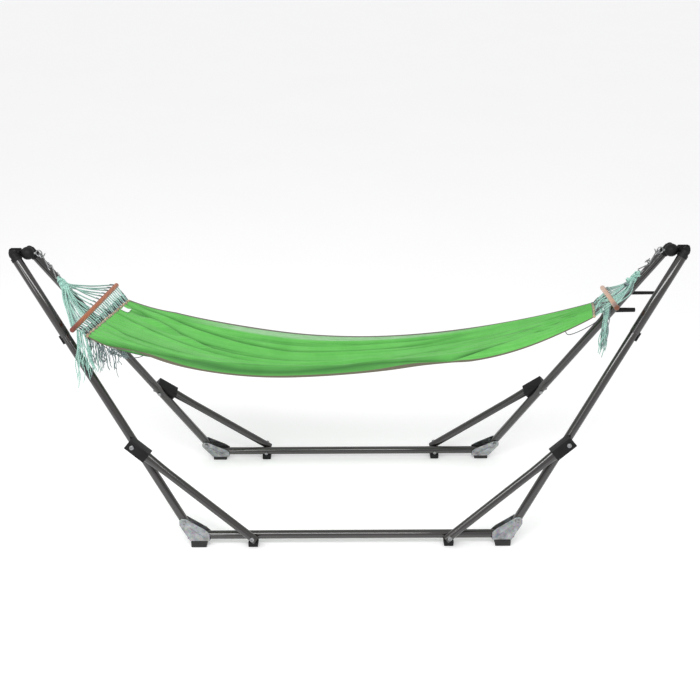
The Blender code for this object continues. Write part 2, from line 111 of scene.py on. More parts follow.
class Look:
    """A material under construction."""

    def __init__(self, name, rough=0.5, metal=0.0, colour=(0.5, 0.5, 0.5), **more):
        self.material = bpy.data.materials.new(name)
        self.material.use_nodes = True
        self.tree = self.material.node_tree
        self.skin = self.tree.nodes["Principled BSDF"]
        self.skin.inputs["Base Color"].default_value = (*colour, 1.0)
        self.skin.inputs["Roughness"].default_value = rough
        self.skin.inputs["Metallic"].default_value = metal
        for word, value in more.items():
            self.skin.inputs[word.replace("_", " ").title().replace("Ior", "IOR")].default_value = value

    def node(self, kind, settings=None, values=(), out=0):
        made = self.tree.nodes.new(kind)
        for word, value in (settings or {}).items():
            if word == "stops":
                ramp = made.color_ramp
                while len(ramp.elements) < len(value):
                    ramp.elements.new(0.5)
                for element, (place, colour) in zip(ramp.elements, value):
                    element.position = place
                    element.color = (*colour, 1.0)
            else:
                setattr(made, word, value)
        pairs = values.items() if isinstance(values, dict) else enumerate(values)
        for key, value in pairs:
            if isinstance(value, Value):
                self.tree.links.new(value.socket, made.inputs[key])
            else:
                made.inputs[key].default_value = value
        return Value(self, made.outputs[out])

    def place(self, kind="Object"):
        return self.node("ShaderNodeTexCoord", out=kind)

    def axis(self, vector, letter):
        return self.node("ShaderNodeSeparateXYZ", {}, [vector], out=letter)

    def stretch(self, vector, scale, turn=(0, 0, 0)):
        return self.node("ShaderNodeMapping", {}, {"Vector": vector, "Scale": scale, "Rotation": turn})

    def noise(self, vector, scale, detail=4.0, rough=0.55):
        return self.node("ShaderNodeTexNoise", {},
                         {"Vector": vector, "Scale": scale, "Detail": detail, "Roughness": rough})

    def ramp(self, value, stops):
        return self.node("ShaderNodeValToRGB", {"stops": stops}, [value])

    def mix(self, share, a, b, blend="MIX"):
        made = self.tree.nodes.new("ShaderNodeMix")
        made.data_type = "RGBA"
        made.blend_type = blend
        for key, value in ((0, share), (6, a), (7, b)):
            if isinstance(value, Value):
                self.tree.links.new(value.socket, made.inputs[key])
            elif key:
                made.inputs[key].default_value = (*value, 1.0)
            else:
                made.inputs[key].default_value = value
        return Value(self, made.outputs[2])

    def bump(self, height, deep, strength=1.0):
        return self.node("ShaderNodeBump", {}, {"Height": height, "Distance": deep, "Strength": strength})

    def wear(self, **links):
        for word, value in links.items():
            self.tree.links.new(value.socket, self.skin.inputs[word.replace("_", " ").title()])
        return self.material


FLOOR_GLOW, AIR_LIGHT = 0.22, 0.76     # light given off by the floor and by the air


def powder_coat():
    look = Look("powder_coat", rough=0.3, colour=(0.011, 0.009, 0.008), specular_ior_level=0.12,
                coat_weight=0.55, coat_roughness=0.12, coat_ior=2.1)
    spot = look.place()
    cloud = look.noise(spot, 9.0, 3.0)
    grain = look.noise(spot, 900.0, 2.0)
    tint = look.ramp(cloud, [(0.3, (0.008, 0.0066, 0.0060)), (0.7, (0.015, 0.0120, 0.0108))])
    return look.wear(base_color=tint, roughness=cloud * 0.14 + 0.24,
                     normal=look.bump(grain, 0.00006, 0.5))


def moulded_plastic():
    look = Look("moulded_plastic", colour=(0.008, 0.008, 0.009), rough=0.5, specular_ior_level=0.2)
    spot = look.place()
    grain = look.noise(spot, 1400.0, 2.0)
    cloud = look.noise(spot, 30.0)
    tint = look.ramp(cloud, [(0.3, (0.006, 0.006, 0.0065)), (0.75, (0.013, 0.013, 0.014))])
    return look.wear(base_color=tint, roughness=cloud * 0.2 + 0.42, normal=look.bump(grain, 0.0002, 0.6))


def foot_rubber():
    look = Look("foot_rubber", colour=(0.012, 0.012, 0.012), rough=0.8)
    spot = look.place()
    dust = look.noise(spot, 40.0, 6.0)
    tint = look.ramp(dust, [(0.35, (0.009, 0.009, 0.009)), (0.8, (0.035, 0.034, 0.032))])
    return look.wear(base_color=tint, roughness=dust * 0.3 + 0.6,
                     normal=look.bump(look.noise(spot, 700.0), 0.0003, 0.6))


def zinc_sheet():
    look = Look("zinc_sheet", metal=0.9, rough=0.35, colour=(0.6, 0.61, 0.62))
    spot = look.place()
    flake = look.node("ShaderNodeTexVoronoi", {}, {"Vector": spot, "Scale": 220.0}, out="Color")
    cloud = look.noise(spot, 45.0, 5.0)
    shade = look.ramp(cloud, [(0.3, (0.19, 0.20, 0.21)), (0.7, (0.47, 0.48, 0.49))])
    tint = look.mix(0.22, shade, flake, "SOFT_LIGHT")
    return look.wear(base_color=tint, roughness=cloud * 0.3 + 0.22, normal=look.bump(cloud, 0.0004, 0.5))


def plated_steel():
    look = Look("plated_steel", metal=1.0, rough=0.28, colour=(0.55, 0.56, 0.57))
    cloud = look.noise(look.place(), 160.0, 4.0)
    tint = look.ramp(cloud, [(0.3, (0.20, 0.205, 0.21)), (0.7, (0.42, 0.425, 0.43))])
    return look.wear(base_color=tint, roughness=cloud * 0.25 + 0.18)


def varnished_wood(name, light, dark, end):
    look = Look(name, rough=0.35, colour=light, coat_weight=0.4, coat_roughness=0.15)
    spot = look.place()
    long_way = look.stretch(spot, (70.0, 4.0, 70.0))
    grain = look.noise(long_way, 1.6, 8.0, 0.65)
    rings = look.node("ShaderNodeTexWave", {"wave_type": "BANDS", "bands_direction": "X"},
                      {"Vector": long_way, "Scale": 0.8, "Distortion": 9.0, "Detail": 4.0}, out=1)
    tint = look.ramp(grain * 0.6 + rings * 0.4, [(0.25, dark), (0.65, light)])
    near_end = look.node("ShaderNodeMapRange", {}, {0: look.axis(spot, "Y"), 1: -0.12, 2: -0.19})
    tint = look.mix(near_end, tint, end)
    return look.wear(base_color=tint, roughness=grain * 0.2 + 0.25, normal=look.bump(grain, 0.0003, 0.5))


def hammock_cloth():
    """Green cotton; UV runs across (U, far edge = 1) and along (V)."""
    look = Look("hammock_cloth", rough=0.92, colour=(0.12, 0.50, 0.09), sheen_weight=0.2, sheen_roughness=0.5)
    sheet = look.place("UV")
    across = look.axis(sheet, "X")
    length = look.axis(sheet, "Y")
    weave = (across * 2860.0).sine() * (length * 8900.0).sine()
    streak = look.noise(look.stretch(sheet, (150.0, 3.0, 1.0)), 1.0, 6.0, 0.6)
    blotch = look.noise(look.place(), 14.0, 5.0)
    green = look.ramp(streak * 0.65 + blotch * 0.35,
                      [(0.30, (0.085, 0.40, 0.060)), (0.52, (0.130, 0.52, 0.095)),
                       (0.75, (0.19, 0.60, 0.145))])
    # painted shade: the fold_shade attribute darkens the green in the folds and below the lower fold
    shade = look.node("ShaderNodeAttribute", {"attribute_name": "fold_shade"}, out="Fac")
    green = look.mix(shade, green, (0.008, 0.070, 0.012))
    far_side = look.node("ShaderNodeMapRange", {}, {0: across, 1: 0.925, 2: 0.945})
    from_left = look.node("ShaderNodeMapRange", {}, {0: length, 1: 0.12, 2: 0.24})
    to_right = look.node("ShaderNodeMapRange", {}, {0: length, 1: 0.80, 2: 0.62})
    band = look.mix(look.noise(look.stretch(sheet, (60.0, 40.0, 1.0)), 1.0, 4.0),
                    (0.17, 0.44, 0.16), (0.44, 0.66, 0.42))
    tint = look.mix(far_side * from_left * to_right, green, band)
    tint = look.mix(across > 0.986, tint, (0.16, 0.15, 0.13))
    tint = look.mix((1 - across) > 0.985, tint, (0.13, 0.12, 0.08))
    return look.wear(base_color=tint, normal=look.bump(weave * 0.3 + streak, 0.0008, 0.8))


def cord_yarn(name, light, dark, twist=900.0):
    look = Look(name, rough=0.92, colour=light, sheen_weight=0.3)
    sheet = look.place("UV")
    turn = (look.axis(sheet, "Y") * twist + look.axis(sheet, "X") * 12.566).sine()
    fuzz = look.noise(look.place(), 420.0, 4.0)
    cloud = look.noise(look.place(), 34.0, 3.0)
    tint = look.ramp(turn * 0.22 + fuzz * 0.4 + cloud * 0.55, [(0.22, dark), (0.62, light)])
    return look.wear(base_color=tint, normal=look.bump(turn * 0.5 + fuzz, 0.0008, 0.9))


def hem_canvas():
    look = Look("hem_canvas", rough=0.9, colour=(0.62, 0.47, 0.33))
    spot = look.place()
    cloud = look.noise(spot, 60.0, 5.0)
    tint = look.ramp(cloud, [(0.3, (0.36, 0.25, 0.15)), (0.7, (0.60, 0.46, 0.31))])
    return look.wear(base_color=tint, normal=look.bump(look.noise(spot, 900.0), 0.0005, 0.8))


def label_satin():
    look = Look("label_satin", rough=0.6, colour=(0.86, 0.87, 0.86))
    weave = look.noise(look.stretch(look.place(), (900.0, 1500.0, 900.0)), 1.0)
    tint = look.ramp(weave, [(0.3, (0.78, 0.79, 0.78)), (0.7, (0.90, 0.91, 0.90))])
    return look.wear(base_color=tint, normal=look.bump(weave, 0.0002, 0.5))


def studio_floor():
    look = Look("studio_floor", rough=0.9, colour=(0.9, 0.9, 0.905),
                emission_color=(1.0, 1.0, 1.0, 1.0), emission_strength=FLOOR_GLOW)
    cloud = look.noise(look.place(), 0.8, 2.0)
    tint = look.ramp(cloud, [(0.2, (0.90, 0.90, 0.905)), (0.8, (0.92, 0.92, 0.925))])
    return look.wear(base_color=tint)


PAINT = powder_coat()
PLASTIC = moulded_plastic()
RUBBER = foot_rubber()
ZINC = zinc_sheet()
STEEL = plated_steel()
WOOD = {"left": varnished_wood("left_bar_wood", (0.42, 0.115, 0.030), (0.24, 0.050, 0.012),
                               (0.15, 0.020, 0.008)),
        "right": varnished_wood("right_bar_wood", (0.62, 0.31, 0.14), (0.40, 0.16, 0.06),
                                (0.15, 0.045, 0.018))}
CLOTH = hammock_cloth()
MINT = cord_yarn("mint_cord", (0.46, 0.76, 0.65), (0.13, 0.30, 0.26))
GREY_CORD = cord_yarn("grey_cord", (0.24, 0.32, 0.32), (0.06, 0.085, 0.09))
DARK_CORD = cord_yarn("dark_cord", (0.060, 0.070, 0.072), (0.012, 0.014, 0.016))
HEM = hem_canvas()
LABEL = label_satin()


# ------------------------------------------------------------ workbench
def nothing_selected():
    if bpy.context.object is not None and bpy.context.object.mode != "OBJECT":
        bpy.ops.object.mode_set(mode="OBJECT")
    for other in bpy.context.selected_objects:
        other.select_set(False)
    bpy.context.view_layer.objects.active = None


def taken_up(obj):
    """Make obj the only selected and active object."""
    nothing_selected()
    obj.select_set(True)
    bpy.context.view_layer.objects.active = obj
    return obj


def editing(obj, mode="FACE"):
    taken_up(obj)
    bpy.ops.object.mode_set(mode="EDIT")
    bpy.ops.mesh.select_mode(type=mode)
    bpy.ops.mesh.select_all(action="DESELECT")
    bpy.ops.object.mode_set(mode="OBJECT")
    return obj


def pick_faces(obj, test):
    """Select the faces whose centre and normal pass the test, in edit mode."""
    editing(obj)
    for face in obj.data.polygons:
        face.select = bool(test(face.center, face.normal))
    bpy.ops.object.mode_set(mode="EDIT")


def done_editing():
    bpy.ops.object.mode_set(mode="OBJECT")


def all_modifiers_on(obj):
    taken_up(obj)
    for change in list(obj.modifiers):
        bpy.ops.object.modifier_apply(modifier=change.name)
    return obj


def softened(obj, width, segments=2, angle=35):
    change = obj.modifiers.new("soft_edges", "BEVEL")
    change.width = width
    change.segments = segments
    change.limit_method = "ANGLE"
    change.angle_limit = math.radians(angle)
    return all_modifiers_on(obj)


def put(obj, name, matrix, finish_look, body, replaces=(), smooth=32):
    """Place the piece in its mesh, smooth it, give it its finish and its body."""
    taken_up(obj)
    if obj.type != "MESH":
        bpy.ops.object.convert(target="MESH")
        obj = bpy.context.object
    obj.data.transform(obj.matrix_world)
    obj.matrix_world = Matrix.Identity(4)
    obj.data.transform(matrix)
    obj.name = obj.data.name = name
    obj.data.materials.clear()
    obj.data.materials.append(finish_look)
    taken_up(obj)
    bpy.ops.object.shade_smooth_by_angle(angle=math.radians(smooth))
    if replaces:
        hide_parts(*replaces)
    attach(obj, body)
    nothing_selected()
    return obj


def joined(pieces):
    nothing_selected()
    for piece in pieces:
        piece.select_set(True)
    bpy.context.view_layer.objects.active = pieces[0]
    bpy.ops.object.join()
    return bpy.context.object


def stick(radius, low, high, sides=48):
    """A closed round bar along Z."""
    nothing_selected()
    bpy.ops.mesh.primitive_cylinder_add(vertices=sides, radius=radius, depth=high - low,
                                        location=(0, 0, (high + low) / 2))
    made = bpy.context.object
    made.data.transform(made.matrix_world)
    made.matrix_world = Matrix.Identity(4)
    return made


def open_tube(radius, low, high, wall=WALL, deep=0.03, sides=48):
    """A round tube along Z with rolled lips and hollow ends."""
    made = stick(radius, low, high, sides)
    for sign in (1, -1):
        pick_faces(made, lambda centre, normal: normal.z * sign > 0.9)
        bpy.ops.mesh.inset(thickness=wall)
        bpy.ops.mesh.extrude_region_move(TRANSFORM_OT_translate={"value": (0, 0, -sign * deep)})
        done_editing()
    return softened(made, 0.0005, 2)


def brick(low, high):
    nothing_selected()
    size = [b - a for a, b in zip(low, high)]
    middle = [(a + b) / 2 for a, b in zip(low, high)]
    bpy.ops.mesh.primitive_cube_add(size=1.0, location=middle)
    made = bpy.context.object
    made.scale = size
    taken_up(made)
    bpy.ops.object.transform_apply(location=True, rotation=False, scale=True)
    return made


def plate(outline, low, high, edge=0.0006):
    """Flat outline with rounded edges, from low to high along Z."""
    curve = bpy.data.curves.new("plate", "CURVE")
    curve.dimensions = "2D"
    curve.fill_mode = "BOTH"
    curve.extrude = (high - low) / 2 - edge
    curve.bevel_depth = edge
    curve.bevel_resolution = 2
    curve.offset = -edge
    line = curve.splines.new("POLY")
    line.points.add(len(outline) - 1)
    line.use_cyclic_u = True
    for point, (x, y) in zip(line.points, outline):
        point.co = (x, y, 0.0, 1.0)
    made = bpy.data.objects.new("plate", curve)
    bpy.context.scene.collection.objects.link(made)
    made.location = (0, 0, (high + low) / 2)
    taken_up(made)
    bpy.ops.object.convert(target="MESH")
    made = bpy.context.object
    bpy.ops.object.transform_apply(location=True, rotation=True, scale=True)
    return made


def tube_mesh(name, runs, sides=6):
    """Yarn tubes along many lists of points, as one mesh with UVs.

    U goes once round and V is the length in metres, so that a twist follows
    each strand.
    """
    verts, faces, uvs = [], [], []
    for run, thick in runs:
        base = len(verts)
        gone = 0.0
        before = None
        side = None
        for n, point in enumerate(run):
            ahead = run[min(n + 1, len(run) - 1)] - run[max(n - 1, 0)]
            ahead = ahead.normalized() if ahead.length > 1e-9 else Vector((0, 0, 1))
            if side is None:
                side = ahead.orthogonal().normalized()
            side = (side - ahead * side.dot(ahead)).normalized()
            up = ahead.cross(side)
            if before is not None:
                gone += (point - before).length
            before = point
            here = thick(n) if callable(thick) else thick
            here *= 0.6 if n in (0, len(run) - 1) else 1.0
            for k in range(sides):
                a = 2 * math.pi * k / sides
                verts.append(point + (side * math.cos(a) + up * math.sin(a)) * here)
            if n:
                for k in range(sides):
                    m = (k + 1) % sides
                    low, high = base + (n - 1) * sides, base + n * sides
                    faces.append((low + k, low + m, high + m, high + k))
                    u0, u1 = k / sides, (k + 1) / sides
                    v0, v1 = gone - (point - run[n - 1]).length, gone
                    uvs.append(((u0, v0), (u1, v0), (u1, v1), (u0, v1)))
        last = base + (len(run) - 1) * sides
        faces.append(tuple(base + k for k in reversed(range(sides))))
        uvs.append(tuple((0.5, 0.0) for _ in range(sides)))
        faces.append(tuple(last + k for k in range(sides)))
        uvs.append(tuple((0.5, gone) for _ in range(sides)))
    data = bpy.data.meshes.new(name)
    data.from_pydata(verts, [], faces)
    layer = data.uv_layers.new(name="strand")
    for face, corners in zip(data.polygons, uvs):
        for loop, corner in zip(face.loop_indices, corners):
            layer.data[loop].uv = corner
    made = bpy.data.objects.new(name, data)
    bpy.context.scene.collection.objects.link(made)
    return made


def smooth_run(points, steps=6):
    """A smooth curve through the points."""
    points = [Vector(p) for p in points]
    ends = [points[0] * 2 - points[1]] + points + [points[-1] * 2 - points[-2]]
    run = []
    for n in range(1, len(ends) - 2):
        p0, p1, p2, p3 = ends[n - 1:n + 3]
        for k in range(steps):
            t = k / steps
            run.append(0.5 * ((2 * p1) + (p2 - p0) * t + (2 * p0 - 5 * p1 + 4 * p2 - p3) * t * t
                              + (3 * p1 - p0 - 3 * p2 + p3) * t ** 3))
    run.append(points[-1])
    return run


def along(start, end):
    start, end = Vector(start), Vector(end)
    return Matrix.Translation(start) @ (end - start).to_track_quat("Z", "X").to_matrix().to_4x4()


ACROSS = Matrix.Rotation(math.pi / 2, 4, "Y")


def frame_space(yaw):
    near = Matrix(((1, 0, 0, 0),
                   (0, math.sin(TILT), -math.cos(TILT), -HALF_SPREAD),
                   (0, math.cos(TILT), math.sin(TILT), RAIL_HEIGHT),
                   (0, 0, 0, 1)))
    return Matrix.Rotation(yaw, 4, "Z") @ near


def bevelled_copy(node, width, segments=3, angle=30):
    """A merged copy of a CAD node with rounded edges."""
    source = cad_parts[node]
    made = bpy.data.objects.new(node + "_copy", source.data.copy())
    bpy.context.scene.collection.objects.link(made)
    editing(made, "VERT")
    bpy.ops.object.mode_set(mode="EDIT")
    bpy.ops.mesh.select_all(action="SELECT")
    bpy.ops.mesh.remove_doubles(threshold=0.00002)
    bpy.ops.mesh.dissolve_limited(angle_limit=math.radians(2))
    done_editing()
    return softened(made, width, segments, angle)


def bolt_head(tall=0.0042, radius=0.0078):
    """Domed head with a hexagon socket, on Z from 0 up."""
    made = stick(radius, 0.0, tall, 36)
    pick_faces(made, lambda centre, normal: normal.z > 0.9)
    bpy.ops.mesh.inset(thickness=radius * 0.22)
    bpy.ops.transform.translate(value=(0, 0, 0.0009))
    bpy.ops.mesh.inset(thickness=radius * 0.30)
    bpy.ops.mesh.extrude_region_move(TRANSFORM_OT_translate={"value": (0, 0, -0.0022)})
    done_editing()
    return softened(made, 0.0004, 2)


def nut_end(tall=0.0040, radius=0.0074):
    made = stick(radius, -tall, 0.0, 6)
    return softened(made, 0.0005, 2)


# ------------------------------------------------------------ stand
def build_frame(label, yaw):
    body = label + "_frame"
    space = frame_space(yaw)
    near = label == "near"
    rail = open_tube(TUBE_R, -RAIL_HALF, RAIL_HALF, deep=0.012)
    put(rail, label + "_bottom_rail", space @ ACROSS, PAINT, body, [label + "_rail"])
    for s in (-1, 1):
        side = SIDE[s if near else -s]
        name = label + "_" + side + "_"
        pivot = Vector((s * PIVOT_X, PIVOT_RISE, 0.0))
        top = Vector((s * (NEAR_TOP_X if near else BALL_X), TOP_V, 0.0))
        length = (top - pivot).length
        meet = pivot.lerp(top, STRUT_MEET)
        foot = Vector((s * STRUT_FOOT_X, 0.0, STRUT_Q))
        head = Vector((meet.x, meet.y, STRUT_Q))
        reach = (head - foot).length
        leg_place = along(pivot, top)
        hinge = Vector((top.x, TOP_V, -FRAME_OFFSET))

        # plug in the rail's end
        plug = stick(TUBE_R - WALL - GAP, -0.010, 0.0)
        lip = stick(TUBE_R, GAP, 0.0035)
        plug = softened(joined([plug, lip]), 0.0008, 3)
        rail_end = (space @ Matrix.Translation((s * RAIL_HALF, 0, 0))
                    @ Matrix.Rotation(s * math.pi / 2, 4, "Y"))
        put(plug, name + "rail_plug", rail_end, PLASTIC, body)

        top_clear = (KNUCKLE_R if near else BALL_R) + 0.004
        leg = open_tube(TUBE_R, -0.012, length - top_clear)
        put(leg, name + "leg_tube", space @ leg_place, PAINT, body, [name + "leg"])
        if near:
            sleeve = open_tube(TUBE_R + 0.0013, 0.705 * length, length - top_clear - 0.002, 0.0011, 0.004)
            put(sleeve, name + "upper_sleeve", space @ leg_place, PAINT, body)

        # knuckle and its collar on the leg
        collar = stick(TUBE_R + 0.0022, length - top_clear - 0.006, length - top_clear + 0.006)
        neck = stick(TUBE_R - 0.0005, length - top_clear + 0.004, length - 0.002)
        pieces = [collar, neck]
        for piece in pieces:
            piece.data.transform(leg_place)
        if near:
            barrel = stick(KNUCKLE_R, -KNUCKLE_LENGTH / 2, KNUCKLE_LENGTH / 2 - 0.004, 64)
            editing(barrel)
            # ribs: every other pair of wall faces stands proud
            wall = [f.index for f in barrel.data.polygons if abs(f.normal.z) < 0.5]
            for index in wall[::2]:
                barrel.data.polygons[index].select = True
            bpy.ops.object.mode_set(mode="EDIT")
            bpy.ops.mesh.inset(thickness=0.0003, use_individual=True)
            bpy.ops.transform.shrink_fatten(value=0.0011)
            done_editing()
            cap = stick(KNUCKLE_R - 0.001, KNUCKLE_LENGTH / 2 - 0.006, KNUCKLE_LENGTH / 2, 48)
            pick_faces(cap, lambda centre, normal: normal.z > 0.9)
            bpy.ops.mesh.inset(thickness=0.004)
            bpy.ops.transform.translate(value=(0, 0, 0.0012))
            done_editing()
            turn = Matrix.Rotation(s * math.pi / 2, 4, "Y")
            for piece in (barrel, cap):
                piece.data.transform(Matrix.Translation(hinge) @ turn)
                pieces.append(piece)
        else:
            nothing_selected()
            bpy.ops.mesh.primitive_uv_sphere_add(segments=48, ring_count=32, radius=BALL_R)
            ball = bpy.context.object
            # moulding line round the middle of the ball
            pick_faces(ball, lambda centre, normal: abs(centre.z) < BALL_R * 0.09)
            bpy.ops.mesh.inset(thickness=0.0005)
            bpy.ops.transform.shrink_fatten(value=-0.0008)
            done_editing()
            ball.data.transform(Matrix.Translation(hinge) @ ACROSS)
            pieces.append(ball)
        arm = stick(0.0125, 0.0, FRAME_OFFSET + 0.004)
        arm.data.transform(Matrix.Translation(hinge))
        pieces.append(arm)
        put(joined(pieces), name + "top_knuckle", space, PLASTIC, body, [name + "top"])

        # gusset of two cheeks and a folded web, with a pressed triangle
        inner = TUBE_R + GAP
        outer = inner + PLATE
        edge = [(0.497, -outer), (0.566, -outer), (0.602, PIVOT_RISE - 0.010), (0.602, PIVOT_RISE + 0.006),
                (0.594, PIVOT_RISE + 0.015), (0.578, PIVOT_RISE + 0.013), (0.512, 0.024), (0.497, 0.010)]
        press = [(0.512, -0.006), (0.558, -0.006), (0.576, 0.030), (0.569, 0.034)]
        cheeks = []
        for low, high, pressed in ((inner, outer, 1), (-outer, -inner, -1)):
            cheeks.append(plate([(s * x, y) for x, y in edge], low, high))
            rim = (outer - 0.0004, outer + 0.0016) if pressed > 0 else (-outer - 0.0016, -outer + 0.0004)
            cheeks.append(plate([(s * x, y) for x, y in press], *rim, 0.0009))
        web_ends = sorted((s * 0.497, s * 0.566))
        web = brick((web_ends[0], -outer, -inner - 0.0005), (web_ends[1], -inner, inner + 0.0005))
        cheeks.append(softened(web, 0.0005))
        put(joined(cheeks), name + "gusset_sheet", space, ZINC, body, [name + "gusset"])

        # strut, widening into a channel under its saddle
        strut = stick(STRUT_R, -0.015, reach - 0.155)
        pick_faces(strut, lambda centre, normal: normal.z > 0.9)
        for rise, wide, thin in ((0.045, 1.10, 1.0), (0.045, 1.14, 1.0), (0.045, 1.08, 0.97),
                                 (0.028, 1.0, 1.0)):
            bpy.ops.mesh.extrude_region_move(TRANSFORM_OT_translate={"value": (0, 0, rise)})
            bpy.ops.transform.resize(value=(thin, wide, 1.0), center_override=(0, 0, 0))
        done_editing()
        pick_faces(strut, lambda centre, normal: normal.z < -0.9)
        bpy.ops.mesh.inset(thickness=WALL)
        bpy.ops.mesh.extrude_region_move(TRANSFORM_OT_translate={"value": (0, 0, 0.03)})
        done_editing()
        beside = Vector(((head - foot).y, -(head - foot).x, 0)).normalized()
        lean = (head - foot).normalized()
        strut_turn = Matrix(((0, beside.x, lean.x, foot.x), (0, beside.y, lean.y, foot.y),
                             (1, 0, 0, foot.z), (0, 0, 0, 1)))
        if strut_turn.to_3x3().determinant() < 0:
            strut_turn = Matrix(((0, -beside.x, lean.x, foot.x), (0, -beside.y, lean.y, foot.y),
                                 (1, 0, 0, foot.z), (0, 0, 0, 1)))
        put(strut, name + "strut_tube", space @ strut_turn, PAINT, body, [name + "strut"])

        put(bevelled_copy(name + "strut_saddle", 0.0030), name + "saddle_boot", Matrix.Identity(4),
            PLASTIC, body, [name + "strut_saddle"])
        put(bevelled_copy(name + "foot", 0.0022), name + "rubber_foot", Matrix.Identity(4),
            RUBBER, body, [name + "foot"])
        put(bevelled_copy(name + "strut_foot", 0.0030), name + "strut_pad", Matrix.Identity(4),
            PLASTIC, body, [name + "strut_foot"])

        for word, spot, low, high in (
                ("pivot_bolt", pivot, -outer - GAP, outer + GAP),
                ("strut_bolt", Vector((foot.x, foot.y, 0)), -TUBE_R - GAP, STRUT_Q + STRUT_R + GAP),
                ("saddle_bolt", meet, -TUBE_R - GAP, STRUT_Q + STRUT_R + 0.003 + GAP)):
            head_piece = bolt_head()
            head_piece.data.transform(Matrix.Translation((0, 0, high)))
            nut = nut_end()
            nut.data.transform(Matrix.Translation((0, 0, low)))
            shank = stick(0.0038, low - 0.002, high + 0.001, 20)
            put(joined([head_piece, nut, shank]), name + word + "_set", space @ Matrix.Translation(spot),
                STEEL, body, [name + word])

        if near:
            put(bevelled_copy(name + "leg_clip", 0.0022), name + "snap_clip", Matrix.Identity(4),
                PLASTIC, body, [name + "leg_clip"])
    if not near:
        for word in ("upper", "lower"):
            put(bevelled_copy("side_arm_" + word, 0.0012), "far_right_arm_" + word, Matrix.Identity(4),
                PLASTIC, body, ["side_arm_" + word])


build_frame("near", 0.0)
build_frame("far", math.pi)


# ------------------------------------------------------------ hooks and cords
def s_bend(start, run, side, length, lift=None):
    """Centre line of an S-shaped hook; lift raises the tip of its first bend."""
    points = []
    if lift is not None:
        points += [run * 0.006 - side * HOOK_BEND * 1.2 + lift * 0.022,
                   run * 0.010 - side * HOOK_BEND * 1.25 + lift * 0.010]
    points += [run * 0.008 - side * HOOK_BEND * 1.1, run * 0.003 - side * HOOK_BEND]
    for n in range(11):
        a = math.pi * n / 10
        points.append(-run * HOOK_BEND * math.sin(a) - side * HOOK_BEND * math.cos(a))
    for n in range(11):
        a = math.pi * n / 10
        points.append(run * (length + HOOK_BEND * math.sin(a)) - side * HOOK_BEND * math.cos(a))
    points += [run * (length - 0.003) + side * HOOK_BEND, run * (length - 0.011) + side * HOOK_BEND * 1.2]
    return smooth_run([start + point for point in points], 3)


def coil(centre, axis, wide, tall, turns, pitch, steps=10):
    """A cord wound round axis, as in a hitch or a lumpy knot."""
    one = axis.orthogonal().normalized()
    two = axis.cross(one)
    count = int(turns * steps)
    points = []
    for k in range(count + 1):
        a = 2 * math.pi * k / steps
        points.append(centre + one * wide * math.cos(a) + two * tall * math.sin(a)
                      + axis * pitch * (k / count - 0.5))
    return points


def cords(name, runs, look, sides=6, replaces=()):
    """Cords of the hammock along their runs, as one piece."""
    return put(tube_mesh(name, runs, sides), name, Matrix.Identity(4), look, "hammock", replaces,
               smooth=60)


def jitter(size):
    return Vector([chance.uniform(-size, size) for _ in range(3)])


# where the main cords meet each bar, as shares of its half length with the far
# end at +1; then where the crowd on its near half starts and ends, how many
# cords it has, and how far they crowd towards the start
MAIN_CORDS = {"left": (0.94, 0.80, 0.66, 0.52, 0.38, 0.24, 0.10, -0.04),
              "right": (0.78, 0.62, 0.46, 0.30, 0.14)}
NEAR_CORDS = {"left": (-0.96, -0.14, 26, 1.5), "right": (-0.80, 0.02, 20, 1.0)}

